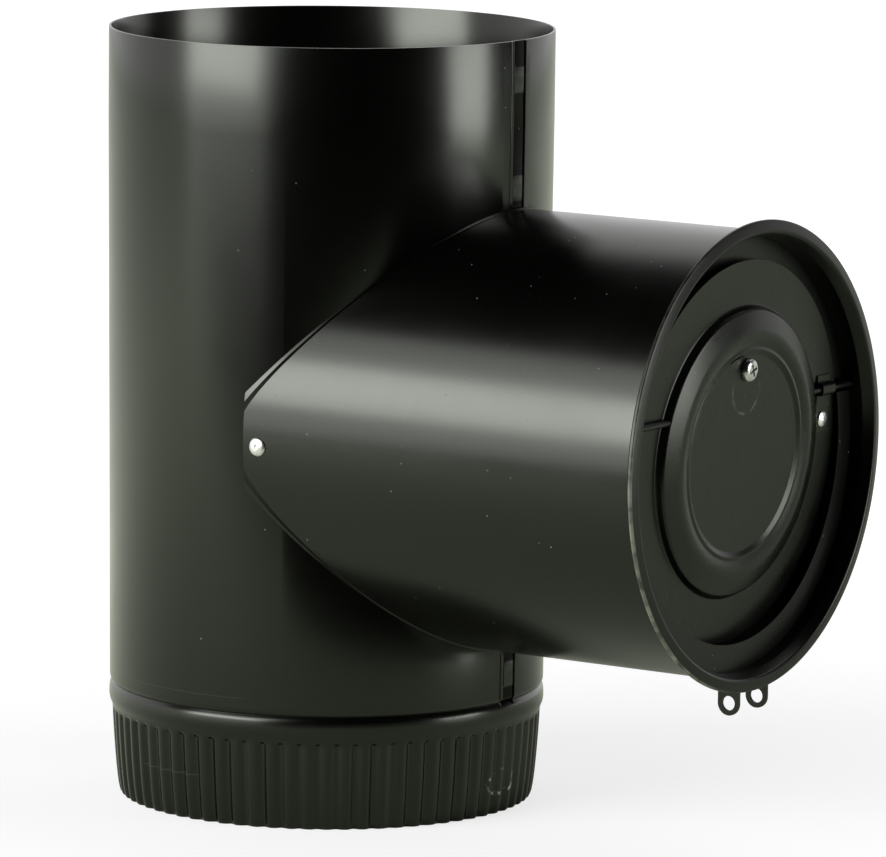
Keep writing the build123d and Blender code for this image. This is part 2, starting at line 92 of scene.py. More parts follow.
def bake_place(piece: bpy.types.Object, place: Matrix) -> bpy.types.Object:
    """Moves a piece and puts its new place into its mesh.

    Args:
        piece: the object, which sits at the origin.
        place: where it goes.

    Returns:
        The same object, at the origin again.
    """
    take(piece)
    piece.matrix_world = place @ piece.matrix_world
    bpy.context.view_layer.update()
    bpy.ops.object.transform_apply(location=True, rotation=True, scale=True)
    return piece


class Bench:
    """Edit mode on one piece, for as long as the with block lasts."""

    def __init__(self, piece: bpy.types.Object) -> None:
        """Keeps the piece to work on."""
        self.piece = piece

    def __enter__(self) -> "Bench":
        """Opens edit mode with nothing selected."""
        take(self.piece)
        bpy.ops.object.mode_set(mode="EDIT")
        bpy.ops.mesh.select_all(action="DESELECT")
        return self

    def __exit__(self, *error: object) -> None:
        """Closes edit mode."""
        bpy.ops.object.mode_set(mode="OBJECT")

    def pick(self, kind: str, test: Test) -> int:
        """Selects only the parts of one kind whose middle passes a test.

        Args:
            kind: VERT, EDGE or FACE.
            test: says yes or no to a point in millimetres.

        Returns:
            How many are selected.
        """
        bpy.ops.mesh.select_mode(type=kind)
        bpy.ops.mesh.select_all(action="DESELECT")
        mesh = bmesh.from_edit_mesh(self.piece.data)
        if kind == "VERT":
            found = [v for v in mesh.verts if test(v.co / MM)]
        elif kind == "EDGE":
            found = [e for e in mesh.edges if test((e.verts[0].co + e.verts[1].co) / (2 * MM))]
        else:
            found = [f for f in mesh.faces if test(f.calc_center_median() / MM)]
        for part in found:
            part.select_set(True)
        mesh.select_flush(True)
        bmesh.update_edit_mesh(self.piece.data, loop_triangles=False, destructive=False)
        return len(found)

    def move(self, x: float = 0.0, y: float = 0.0, z: float = 0.0) -> None:
        """Moves what is selected by millimetres."""
        bpy.ops.transform.translate(value=(x * MM, y * MM, z * MM))

    def widen(self, ratio: float) -> None:
        """Scales what is selected about its own middle, across the Z axis."""
        bpy.ops.transform.resize(value=(ratio, ratio, 1))

    def extrude(self, x: float = 0.0, y: float = 0.0, z: float = 0.0) -> None:
        """Extrudes what is selected and moves it by millimetres."""
        bpy.ops.mesh.extrude_region_move(TRANSFORM_OT_translate={"value": (x * MM, y * MM, z * MM)})

    def cut(self, point: Sequence[float], normal: Sequence[float]) -> None:
        """Cuts what is selected along a plane, and keeps both sides.

        Args:
            point: a point of the plane, in millimetres.
            normal: the plane's direction.
        """
        bpy.ops.mesh.bisect(plane_co=Vector(point) * MM, plane_no=normal, use_fill=False,
                            clear_inner=False, clear_outer=False)

    def heal(self) -> None:
        """Merges doubles and turns every face outwards."""
        bpy.ops.mesh.select_all(action="SELECT")
        bpy.ops.mesh.remove_doubles(threshold=0.002 * MM)
        bpy.ops.mesh.normals_make_consistent(inside=False)


def turned(name: str, rings: Sequence[Point], segments: int, capped: bool = False,
           closed: bool = False) -> bpy.types.Object:
    """Turns a piece about the Z axis: a ring is extruded and widened from step to step.

    Args:
        name: the piece's name.
        rings: radius and height of each ring, in order, in millimetres.
        segments: how many points a ring has.
        capped: fills the first and the last ring with a face.
        closed: joins the last ring to the first one.

    Returns:
        The turned object.
    """
    radius, height = rings[0]
    clear_selection()
    bpy.ops.mesh.primitive_circle_add(vertices=segments, radius=radius * MM, fill_type="NOTHING",
                                      location=(0, 0, height * MM))
    piece = bpy.context.object
    piece.name = piece.data.name = name
    bpy.ops.object.transform_apply(location=True, rotation=True, scale=True)
    with Bench(piece) as bench:
        bpy.ops.mesh.select_mode(type="VERT")
        bpy.ops.mesh.select_all(action="SELECT")
        for next_radius, next_height in list(rings[1:]) + ([rings[0]] if closed else []):
            bench.extrude(z=next_height - height)
            bench.widen(next_radius / radius)
            radius, height = next_radius, next_height
        if capped:
            bpy.ops.mesh.edge_face_add()
            first_radius, first_height = rings[0]
            bench.pick("VERT", lambda p: abs(p.z - first_height) < 0.001
                       and abs(math.hypot(p.x, p.y) - first_radius) < 0.01)
            bpy.ops.mesh.edge_face_add()
        bench.heal()
    return piece


def rounded(points: Sequence[Point], radii: Sequence[float], steps: int = 5) -> list[Point]:
    """Rounds the inner corners of a line.

    Args:
        points: the line's corners.
        radii: the radius of each inner corner, with 0 for a sharp one.
        steps: how many pieces an arc is made of.

    Returns:
        The rounded line's points.
    """
    line = [points[0]]
    for index, radius in enumerate(radii, start=1):
        before, corner, after = (Vector(points[index + step]) for step in (-1, 0, 1))
        incoming, outgoing = (before - corner).normalized(), (after - corner).normalized()
        half = incoming.angle(outgoing) / 2
        if radius <= 0 or abs(half - math.pi / 2) < 1e-4:
            line.append(tuple(corner))
            continue
        reach = radius / math.tan(half)
        middle = corner + (incoming + outgoing).normalized() * (radius / math.sin(half))
        start, end = corner + incoming * reach - middle, corner + outgoing * reach - middle
        first = math.atan2(start.y, start.x)
        sweep = (math.atan2(end.y, end.x) - first + math.pi) % (2 * math.pi) - math.pi
        for step in range(steps + 1):
            angle = first + sweep * step / steps
            line.append((middle.x + radius * math.cos(angle), middle.y + radius * math.sin(angle)))
    line.append(points[-1])
    return line


def sheet_rings(line: Sequence[Point], thickness: float) -> list[Point]:
    """Gives a line its wall: the line, and the same line back on its left side.

    Args:
        line: radius and height of each point.
        thickness: how far the second face lies from the first, in millimetres.

    Returns:
        The closed section's points.
    """
    back = []
    for index, point in enumerate(line):
        here = Vector(point)
        ways = []
        if index > 0:
            ways.append((here - Vector(line[index - 1])).normalized())
        if index < len(line) - 1:
            ways.append((Vector(line[index + 1]) - here).normalized())
        way = sum(ways, Vector((0, 0))).normalized()
        shift = thickness / max(0.3, way.dot(ways[0]))
        back.append((here.x - way.y * shift, here.y + way.x * shift))
    return list(line) + back[::-1]


def apply_modifier(piece: bpy.types.Object, kind: str, **settings: object) -> None:
    """Adds a modifier, sets it and applies it.

    Args:
        piece: the object that gets it.
        kind: the modifier's type.
        settings: its values by name.
    """
    take(piece)
    modifier = piece.modifiers.new(kind.lower(), kind)
    for key, value in settings.items():
        setattr(modifier, key, value)
    bpy.ops.object.modifier_apply(modifier=modifier.name)


def smooth(piece: bpy.types.Object, degrees: float = 35.0) -> None:
    """Shades a piece smooth, apart from its edges that are sharper than an angle."""
    take(piece)
    bpy.ops.object.shade_smooth_by_angle(angle=math.radians(degrees))


def soften(piece: bpy.types.Object, width: float, degrees: float = 60.0, segments: int = 2) -> None:
    """Breaks the sharp edges of a piece with a narrow bevel, whose width is in millimetres."""
    apply_modifier(piece, "BEVEL", width=width * MM, segments=segments, limit_method="ANGLE",
                   angle_limit=math.radians(degrees), harden_normals=False)


def joined(name: str, pieces: Sequence[bpy.types.Object]) -> bpy.types.Object:
    """Joins several objects into one.

    Args:
        name: the new piece's name.
        pieces: the objects, which are used up.

    Returns:
        The joined object.
    """
    take(pieces[0])
    for piece in pieces[1:]:
        piece.select_set(True)
    if len(pieces) > 1:
        bpy.ops.object.join()
    whole = bpy.context.view_layer.objects.active
    whole.name = whole.data.name = name
    return whole


def twin(piece: bpy.types.Object, name: str, place: Matrix) -> bpy.types.Object:
    """Copies a piece with a mesh of its own and puts the copy in place."""
    other = piece.copy()
    other.data = piece.data.copy()
    other.name = name
    bpy.context.scene.collection.objects.link(other)
    return bake_place(other, place)


def install(piece: bpy.types.Object, body: str, finish: bpy.types.Material,
            nodes: Sequence[str]) -> None:
    """Gives a finished piece its material and its place in the frame.

    Args:
        piece: the object.
        body: the body that it moves with.
        finish: its material.
        nodes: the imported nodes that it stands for.
    """
    piece.data.materials.clear()
    piece.data.materials.append(finish)
    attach(piece, body)
    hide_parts(*nodes)
    LOG.info("%s: %d faces, stands for %s", piece.name, len(piece.data.polygons), ", ".join(nodes))


def dress_node(node: str, finish: bpy.types.Material) -> None:
    """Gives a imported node, which is left as it is, its material."""
    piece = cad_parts[node]
    if not piece.material_slots:
        piece.data.materials.append(finish)
    for place in piece.material_slots:
        place.material = finish
    LOG.info("%s: packed shape, dressed", node)


# ---- Finishes ----


class Recipe:
    """A material's node tree while it is being put together."""

    def __init__(self, name: str) -> None:
        """Starts a material with one Principled shader."""
        self.material = bpy.data.materials.new(name)
        self.material.use_nodes = True
        self.tree = self.material.node_tree
        self.shader = self.tree.nodes["Principled BSDF"]
        self.place = self.tree.nodes.new("ShaderNodeTexCoord").outputs["Object"]

    def add(self, kind: str, inputs: dict[str, object] | None = None, **settings: object) -> bpy.types.Node:
        """Adds a node.

        Args:
            kind: the node's type, without its common start.
            inputs: values or sockets for its inputs, by name or number.
            settings: the node's own settings.

        Returns:
            The new node.
        """
        node = self.tree.nodes.new("ShaderNode" + kind)
        for key, value in settings.items():
            setattr(node, key, value)
        for key, value in (inputs or {}).items():
            if isinstance(value, bpy.types.NodeSocket):
                self.tree.links.new(value, node.inputs[key])
            else:
                node.inputs[key].default_value = value
        return node

    def link(self, socket: bpy.types.NodeSocket, name: str) -> None:
        """Joins a socket to one of the shader's inputs."""
        self.tree.links.new(socket, self.shader.inputs[name])

    def noise(self, scale: float, detail: float = 3.0, rough: float = 0.55,
              stretch: Sequence[float] = (1, 1, 1)) -> bpy.types.NodeSocket:
        """A noise pattern on the piece's own coordinates, per metre."""
        mapped = self.add("Mapping", {"Vector": self.place, "Scale": tuple(stretch)})
        node = self.add("TexNoise", {"Vector": mapped.outputs[0], "Scale": scale, "Detail": detail,
                                     "Roughness": rough})
        return node.outputs["Fac"]

    def between(self, value: bpy.types.NodeSocket, low: float, high: float, to_low: float = 0.0,
                to_high: float = 1.0) -> bpy.types.NodeSocket:
        """Maps one range of a pattern to another, and stays inside it."""
        node = self.add("MapRange", {"Value": value, "From Min": low, "From Max": high, "To Min": to_low,
                                     "To Max": to_high}, clamp=True)
        return node.outputs["Result"]

    def window(self, value: bpy.types.NodeSocket, low: float, high: float,
               edge: float = 0.15) -> bpy.types.NodeSocket:
        """1 between two places in millimetres, and 0 outside them."""
        rise = self.between(value, (low - edge) * MM, (low + edge) * MM)
        fall = self.between(value, (high - edge) * MM, (high + edge) * MM, 1.0, 0.0)
        return self.math("MULTIPLY", rise, fall)

    def math(self, operation: str, first: object, second: object = 0.0) -> bpy.types.NodeSocket:
        """One sum on two patterns."""
        return self.add("Math", {0: first, 1: second}, operation=operation).outputs[0]

    def blend(self, amount: bpy.types.NodeSocket, low: object, high: object) -> bpy.types.NodeSocket:
        """Goes from one colour to another with a pattern."""
        node = self.add("Mix", {"Factor": amount}, data_type="RGBA")
        for name, value in ((6, low), (7, high)):
            if isinstance(value, bpy.types.NodeSocket):
                self.tree.links.new(value, node.inputs[name])
            else:
                node.inputs[name].default_value = (*value, 1.0)
        return node.outputs[2]

    def specks(self, cells: float, size: float, share: float) -> bpy.types.NodeSocket:
        """Scattered round specks.

        Args:
            cells: cells per metre, each with one speck at most.
            size: a speck's radius as a share of its cell.
            share: how much of the cells has a speck.

        Returns:
            A mask, 1 on a speck.
        """
        cell = self.add("TexVoronoi", {"Vector": self.place, "Scale": cells, "Randomness": 1.0})
        disc = self.between(cell.outputs["Distance"], size * 0.6, size, 1.0, 0.0)
        pick = self.add("SeparateColor", {"Color": cell.outputs["Color"]}).outputs[0]
        chosen = self.between(pick, share, share + 0.001, 1.0, 0.0)
        return self.math("MULTIPLY", disc, chosen)

    def bump(self, height: bpy.types.NodeSocket, distance: float, strength: float = 1.0,
             under: bpy.types.NodeSocket | None = None) -> bpy.types.NodeSocket:
        """A bump, whose depth is in millimetres, over another one."""
        inputs: dict[str, object] = {"Height": height, "Distance": distance * MM, "Strength": strength}
        if under is not None:
            inputs["Normal"] = under
        return self.add("Bump", inputs).outputs["Normal"]


@dataclass(frozen=True)
class StovePaint:
    """Satin black stove paint on sheet steel, with fine dust and a little mottling."""

    name: str
    colour: Colour = (0.0005, 0.0006, 0.0004)
    tint: Colour = (0.96, 1.0, 0.90)
    dust: Colour = (0.30, 0.31, 0.29)
    roughness: Point = (0.20, 0.25)
    index: float = 1.5
    speck_share: float = 0.10
    haze: float = 0.10
    grain_depth: float = 0.010

    def make(self) -> bpy.types.Material:
        """Builds the material."""
        recipe = Recipe(self.name)
        recipe.shader.inputs["Specular Tint"].default_value = (*self.tint, 1.0)
        recipe.shader.inputs["IOR"].default_value = self.index
        cloud = recipe.noise(9.0, 4.0)
        grain = recipe.noise(1900.0, 2.0)
        waves = recipe.noise(38.0, 2.0)
        fine = recipe.specks(210.0, 0.06, self.speck_share)
        coarse = recipe.specks(85.0, 0.032, self.speck_share * 0.8)
        dust = recipe.math("MAXIMUM", fine, coarse)
        paler = tuple(c * 1.5 for c in self.colour)
        tone = recipe.blend(recipe.between(cloud, 0.35, 0.7), self.colour, paler)
        tone = recipe.blend(recipe.math("MULTIPLY", dust, 0.75), tone, self.dust)
        recipe.link(self.mark(recipe, tone), "Base Color")
        rough = recipe.between(recipe.noise(24.0, 5.0, 0.6), 0.3, 0.72, *self.roughness)
        rough = recipe.math("ADD", rough, recipe.math("MULTIPLY", grain, self.haze * 0.2))
        recipe.link(recipe.math("ADD", rough, recipe.math("MULTIPLY", dust, 0.3)), "Roughness")
        normal = recipe.bump(waves, 0.05, 0.5)
        normal = recipe.bump(grain, self.grain_depth, 0.6, normal)
        recipe.link(recipe.bump(dust, 0.05, 0.6, normal), "Normal")
        return recipe.material

    def mark(self, recipe: Recipe, tone: bpy.types.NodeSocket) -> bpy.types.NodeSocket:
        """Leaves the colour as it is: plain paint has no marks."""
        return tone


@dataclass(frozen=True)
class RunPaint(StovePaint):
    """The run's stove paint: seam strip darkened as painted shade, roller marks lightened as painted
    highlights, and the scuffed foot of the seam.
    """

    seam_y: Point = (-3.2, 4.4)
    seam_foot: float = 38.5
    buttons: tuple[Point, ...] = ((249.3, 257.9), (212.3, 220.9), (44.8, 53.4))
    left: tuple[float, float, float] = (-0.8316, -0.5554, 0.0)
    scribed_height: float = 44.9
    roller_height: float = 16.0
    scuff_middle: Point = (0.6, 11.4)
    scuff_half: Point = (7.4, 4.3)
    bare_and_highlight: Colour = (0.30, 0.315, 0.29)

    def mark(self, recipe: Recipe, tone: bpy.types.NodeSocket) -> bpy.types.NodeSocket:
        """Darkens the seam strip's reflection as painted shade, paints the scribed and roller lines lighter
        as a painted highlight on real marks, and scratches the scuff into the paint.

        Args:
            recipe: the material that is being put together.
            tone: the paint's colour.

        Returns:
            The colour with its marks.
        """
        split = recipe.add("SeparateXYZ", {"Vector": recipe.place})
        front, across, height = (split.outputs[axis] for axis in "XYZ")
        # Painted shade: the seam strip's reflection is turned down, standing in for the dark it would
        # reflect.
        shaded_strip = recipe.math("MULTIPLY", recipe.window(across, *self.seam_y),
                            recipe.window(height, self.seam_foot, 400.0))
        for button in self.buttons:
            beyond = recipe.math("SUBTRACT", 1.0, recipe.window(height, *button))
            shaded_strip = recipe.math("MULTIPLY", shaded_strip, beyond)
        shaded_strip = recipe.math("MULTIPLY", shaded_strip, recipe.window(front, 60.0, 90.0))
        recipe.link(recipe.between(shaded_strip, 0.0, 1.0, 0.5, 0.06), "Specular IOR Level")

        side = recipe.add("VectorMath", {0: recipe.place, 1: self.left},
                          operation="DOT_PRODUCT").outputs["Value"]
        low, high = self.scribed_height - 0.08, self.scribed_height + 0.08
        scribed = recipe.math("MULTIPLY", recipe.window(side, 27.0, 90.0, 3.0),
                              recipe.window(height, low, high, 0.12))
        low, high = self.roller_height - 0.15, self.roller_height + 0.15
        roller = recipe.math("MULTIPLY", recipe.window(side, 42.0, 62.0, 2.0),
                             recipe.window(height, low, high, 0.2))
        # Partly painted highlight: the scribed and roller lines are real marks, painted lighter only where
        # light would catch their grooves.
        highlit_marks = recipe.math("MULTIPLY", recipe.math("MAXIMUM", scribed, roller), 0.09)

        sizes = (0.0, 1 / (self.scuff_half[0] * MM), 1 / (self.scuff_half[1] * MM))
        shift = (0.0, -self.scuff_middle[0] / self.scuff_half[0], -self.scuff_middle[1] / self.scuff_half[1])
        around = recipe.add("Mapping", {"Vector": recipe.place, "Location": shift, "Scale": sizes})
        reach = recipe.add("VectorMath", {0: around.outputs[0]}, operation="LENGTH").outputs["Value"]
        off = recipe.math("ABSOLUTE", recipe.math("SUBTRACT", reach, 1.0))
        scuff = recipe.math("MULTIPLY", recipe.between(off, 0.06, 0.2, 1.0, 0.0),
                            recipe.between(recipe.noise(300.0, 4.0), 0.50, 0.60))
        scuff = recipe.math("MULTIPLY", scuff, recipe.window(front, 60.0, 90.0))
        return recipe.blend(recipe.math("MAXIMUM", highlit_marks, scuff), tone, self.bare_and_highlight)


@dataclass(frozen=True)
class RimPaint(StovePaint):
    """The sleeve's duller paint, with a painted highlight along the rim's lower near edge."""

    axis_height: float = 133.9
    edge: Point = (78.75, 79.6)
    edge_highlight: Colour = (0.21, 0.22, 0.18)

    def mark(self, recipe: Recipe, tone: bpy.types.NodeSocket) -> bpy.types.NodeSocket:
        """Paints a highlight along the rim's lower near edge."""
        around = recipe.add("Mapping", {"Vector": recipe.place, "Scale": (0.0, 1.0, 1.0),
                                        "Location": (0.0, 0.0, -self.axis_height * MM)})
        reach = recipe.add("VectorMath", {0: around.outputs[0]}, operation="LENGTH").outputs["Value"]
        split = recipe.add("SeparateXYZ", {"Vector": around.outputs[0]})
        near = recipe.between(split.outputs["Y"], -40.0 * MM, -15.0 * MM, 1.0, 0.0)
        low = recipe.between(split.outputs["Z"], -5.0 * MM, 30.0 * MM, 1.0, 0.15)
        # Painted highlight: a bright line on the rim's lower near edge stands in for the reflection on the
        # hem.
        line = recipe.math("MULTIPLY", recipe.window(reach, *self.edge), recipe.math("MULTIPLY", near, low))
        wear_and_highlight = recipe.math("MULTIPLY", line, recipe.between(recipe.noise(160.0, 4.0), 0.38, 0.62, 0.25, 1.0))
        return recipe.blend(wear_and_highlight, tone, self.edge_highlight)


@dataclass(frozen=True)
class GatePaint:
    """Duller black paint of the gate, with a rubbed arc below the adjusting screw."""

    name: str
    colour: Colour = (0.0016, 0.0019, 0.0014)
    tint: Colour = (0.95, 1.0, 0.88)
    index: float = 1.4
    wear_and_highlight: Colour = (0.075, 0.078, 0.07)
    roughness: Point = (0.25, 0.33)
    arc_middle: tuple[float, float, float] = (169.6, -0.8, 156.5)
    arc_radius: float = 8.5

    def make(self) -> bpy.types.Material:
        """Builds the material."""
        recipe = Recipe(self.name)
        recipe.shader.inputs["Specular Tint"].default_value = (*self.tint, 1.0)
        recipe.shader.inputs["IOR"].default_value = self.index
        cloud = recipe.noise(22.0, 4.0)
        grain = recipe.noise(1500.0, 2.0)
        dust = recipe.math("MAXIMUM", recipe.specks(240.0, 0.05, 0.12), recipe.specks(90.0, 0.028, 0.10))
        place = recipe.add("Mapping", {"Vector": recipe.place,
                                       "Location": tuple(-c * MM for c in self.arc_middle)})
        reach = recipe.add("VectorMath", {0: place.outputs[0]}, operation="LENGTH").outputs["Value"]
        ring = recipe.math("SUBTRACT", reach, self.arc_radius * MM)
        line = recipe.between(recipe.math("ABSOLUTE", ring), 0.15 * MM, 0.7 * MM, 1.0, 0.0)
        below = recipe.add("SeparateXYZ", {"Vector": place.outputs[0]}).outputs["Z"]
        arc = recipe.math("MULTIPLY", line, recipe.between(below, -1.0 * MM, 3.0 * MM, 1.0, 0.0))
        arc = recipe.math("MULTIPLY", arc, recipe.between(recipe.noise(260.0, 3.0), 0.4, 0.6))
        paler = tuple(c * 1.6 for c in self.colour)
        tone = recipe.blend(recipe.between(cloud, 0.35, 0.7), self.colour, paler)
        tone = recipe.blend(arc, tone, self.wear_and_highlight)
        recipe.link(recipe.blend(recipe.math("MULTIPLY", dust, 0.5), tone, (0.22, 0.22, 0.2)), "Base Color")
        rough = recipe.between(recipe.noise(60.0, 5.0, 0.6), 0.3, 0.7, *self.roughness)
        recipe.link(recipe.math("SUBTRACT", rough, recipe.math("MULTIPLY", arc, 0.1)), "Roughness")
        normal = recipe.bump(recipe.noise(55.0, 2.0), 0.06, 0.5)
        normal = recipe.bump(grain, 0.012, 0.6, normal)
        recipe.link(recipe.bump(arc, 0.03, 0.8, normal), "Normal")
        return recipe.material


@dataclass(frozen=True)
class PlatedMetal:
    """Bare or plated metal, with fine scratches and a mottled dullness."""

    name: str
    colour: Colour
    roughness: Point = (0.2, 0.36)
    scratch_way: tuple[float, float, float] = (1.0, 12.0, 1.0)

    def make(self) -> bpy.types.Material:
        """Builds the material."""
        recipe = Recipe(self.name)
        recipe.shader.inputs["Metallic"].default_value = 1.0
        blotch = recipe.noise(420.0, 4.0)
        scratch = recipe.noise(900.0, 3.0, 0.6, self.scratch_way)
        darker = tuple(c * 0.72 for c in self.colour)
        recipe.link(recipe.blend(recipe.between(blotch, 0.35, 0.65), darker, self.colour), "Base Color")
        recipe.link(recipe.between(scratch, 0.3, 0.7, *self.roughness), "Roughness")
        recipe.link(recipe.bump(scratch, 0.01, 0.5), "Normal")
        return recipe.material


# ---- Run ----


@dataclass
class RunPipe:
    """The rolled run: socket, slight taper, bead, band, crimps, lock seam and the opening to the branch."""

    height: float = 267.0
    radius: float = 76.8
    foot_radius: float = 75.4
    wall: float = 0.76
    socket_depth: float = 30.0
    opening_radius: float = 70.0
    opening_height: float = 133.9
    bead_height: float = 39.4
    bead_depth: float = 0.9
    band_foot_radius: float = 74.5
    band_crown_radius: float = 75.6
    crimp_top: float = 31.0
    crimp_count: int = 72
    steps_per_crimp: int = 12
    crimp_depth: float = 1.35
    crimp_presses: tuple[Point, ...] = ((4, 0.10), (3, 0.22), (2, 0.30), (1, 0.26), (0, 0.12))
    crimp_floor_radius: float = 71.2
    seam_y: Point = (-3.2, 4.4)
    ridge_width: float = 1.3
    ridge_height: float = 0.33
    channel_depth: float = 0.42
    button_y: Point = (-2.6, 3.8)
    buttons: tuple[Point, ...] = ((249.3, 257.9), (212.3, 220.9), (44.8, 53.4))
    seed: int = 11

    def outline(self) -> list[Point]:
        """Radius and height of the run's outside, from the top to the crimped edge."""
        bead, depth, foot = self.bead_height, self.bead_depth, self.foot_radius
        line = [(self.radius, self.height), (self.radius, self.height - self.socket_depth)]
        line += [(foot, bead + 2.2), (foot - 0.12 * depth, bead + 1.3), (foot - 0.55 * depth, bead + 0.65),
                 (foot - depth, bead), (foot - 0.55 * depth, bead - 0.6), (foot - 0.1 * depth, bead - 1.2)]
        for height in (37.2, 36.0, 34.6, 33.2, 32.0):
            share = (height - self.crimp_top) / (bead - 1.2 - self.crimp_top)
            arc = self.band_crown_radius - 0.25 * (2 * share - 1) ** 2
            line.append((arc if share > 0.5 else self.band_foot_radius + (arc - self.band_foot_radius)
                         * math.sin(math.pi * share), height))
        line.append((self.band_foot_radius, self.crimp_top))
        full = self.crimp_top - 4.5
        for height in (30.2, 29.3, 28.4, 27.4, 26.5, 24.0, 21.0, 17.0, 13.0, 9.0, 6.0, 3.5, 1.6, 0.5, 0.0):
            share = min(1.0, height / full)
            swell = 3.1 * math.sqrt(share) + 0.2 * max(0.0, height - full) / 4.5
            line.append((self.crimp_floor_radius + swell, height))
        return line

    def build(self) -> bpy.types.Object:
        """Models the run.

        Returns:
            The finished piece.
        """
        pipe = turned("run_pipe_skin", self.outline(), self.crimp_count * self.steps_per_crimp)
        self.press_crimps(pipe)
        self.fold_seam(pipe)
        with Bench(pipe) as bench:
            if bench.pick("FACE", lambda p: p.z > self.height - 0.01):
                bpy.ops.mesh.delete(type="FACE")
            bench.heal()
        apply_modifier(pipe, "SOLIDIFY", thickness=self.wall * MM, offset=-1.0)
        self.open_to_branch(pipe)
        soften(pipe, 0.14, 75.0)
        smooth(pipe, 42.0)
        return pipe

    def press_crimps(self, pipe: bpy.types.Object) -> None:
        """Presses the crimps: each column of points goes inwards by its share of the depth."""
        steps, pitch = self.steps_per_crimp, 2 * math.pi / self.crimp_count
        chance = random.Random(self.seed)
        depths = [chance.uniform(0.8, 1.12) for _ in range(self.crimp_count)]
        turns = [chance.uniform(-0.16, 0.16) for _ in range(self.crimp_count)]
        with Bench(pipe) as bench:
            for number in range(self.crimp_count):
                middle = (number + 0.5) * pitch

                def column(point: Vector, reach: int) -> bool:
                    """Says whether a point of the crimped end lies in this groove's columns."""
                    if point.z > 29.5:
                        return False
                    offset = (math.atan2(point.y, point.x) - middle + math.pi) % (2 * math.pi) - math.pi
                    return abs(round(offset / pitch * steps)) <= reach and abs(offset) < pitch / 2

                way = Vector((math.cos(middle), math.sin(middle), 0))
                side = Vector((-way.y, way.x, 0)) * turns[number]
                for reach, share in self.crimp_presses:
                    if bench.pick("VERT", lambda p: column(p, reach)):
                        inward = way * (-self.crimp_depth * depths[number] * share)
                        step = inward + (side if reach == 1 else Vector())
                        bench.move(step.x, step.y)
            bench.pick("VERT", lambda p: p.z < 0.01)
            bpy.ops.transform.vertex_random(offset=0.16 * MM, uniform=0.0, normal=0.0, seed=self.seed)
            bench.pick("VERT", lambda p: p.z < 0.3)
            bpy.ops.transform.resize(value=(1, 1, 0))
            bench.move(z=0.0)

    def fold_seam(self, pipe: bpy.types.Object) -> None:
        """Folds the lock seam: a sunk strip with a ridge beside it and raised buttons in it."""
        low, high = self.seam_y
        ridge = low - self.ridge_width
        foot, saddle_foot, saddle_top = 38.1, 57.4, 210.4

        def beside(point: Vector, y_range: Point, z_range: Point) -> bool:
            """Says whether a point lies in a patch on the branch's side."""
            return point.x > 0 and y_range[0] < point.y < y_range[1] and z_range[0] < point.z < z_range[1]

        with Bench(pipe) as bench:
            for y in (ridge, low, high, *self.button_y):
                bench.pick("FACE", lambda p: beside(p, (ridge - 3, high + 3), (foot, 300)))
                bench.cut((0, y, 0), (0, 1, 0))
            for z in sorted({z for button in self.buttons for z in button} | {saddle_foot, saddle_top}):
                bench.pick("FACE", lambda p: beside(p, (ridge - 3, high + 3), (foot, 300)))
                bench.cut((0, 0, z), (0, 0, 1))
            for z_range in ((saddle_top, 300), (41.0, saddle_foot)):
                bench.pick("FACE", lambda p: beside(p, (ridge, low), z_range))
                bench.extrude(x=self.ridge_height)

            def on_button(point: Vector) -> bool:
                """Says whether a point lies on a button."""
                return any(beside(point, self.button_y, button) for button in self.buttons)

            bench.pick("FACE", lambda p: beside(p, (low, high), (foot, 300)) and not on_button(p))
            bench.extrude(x=-self.channel_depth)
            for button in self.buttons:
                bench.pick("FACE", lambda p: beside(p, self.button_y, button) and p.x > 70)
                bpy.ops.mesh.inset(thickness=0.7 * MM, depth=0.0)
                bench.move(x=0.28)

    def open_to_branch(self, pipe: bpy.types.Object) -> None:
        """Cuts the opening to the branch with a round cutter."""
        clear_selection()
        bpy.ops.mesh.primitive_cylinder_add(vertices=160, radius=self.opening_radius * MM, depth=0.12,
                                            location=(0.06, 0, self.opening_height * MM),
                                            rotation=(0, math.pi / 2, 0))
        cutter = bpy.context.object
        apply_modifier(pipe, "BOOLEAN", operation="DIFFERENCE", object=cutter, solver="MANIFOLD")
        bpy.data.objects.remove(cutter)

    def dress(self, pipe: bpy.types.Object, paint: bpy.types.Material) -> None:
        """Finishes the run in stove paint."""
        install(pipe, "tee", paint, ["run_pipe"])


# ---- Branch, its rivets and the ring at the mouth ----


@dataclass
class Branch:
    """Where the branch lies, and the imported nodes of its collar, clamp ring and ears."""

    height: float = 133.9
    reach: float = 175.0
    radius: float = 75.5
    rivet_x: float = 23.0
    rivet_drop: float = 1.9

    def place(self, x: float = 0.0) -> Matrix:
        """Place of a piece that was turned about Z, when it is turned about the branch's axis instead."""
        return Matrix.Translation(Vector((x, 0, self.height)) * MM) @ Matrix.Rotation(math.pi / 2, 4, "Y")

    def dress(self, paint: bpy.types.Material) -> None:
        """Finishes the collar and the clamp ring in stove paint."""
        for node in ("branch_collar", "clamp_ring", "clamp_ears"):
            dress_node(node, paint)


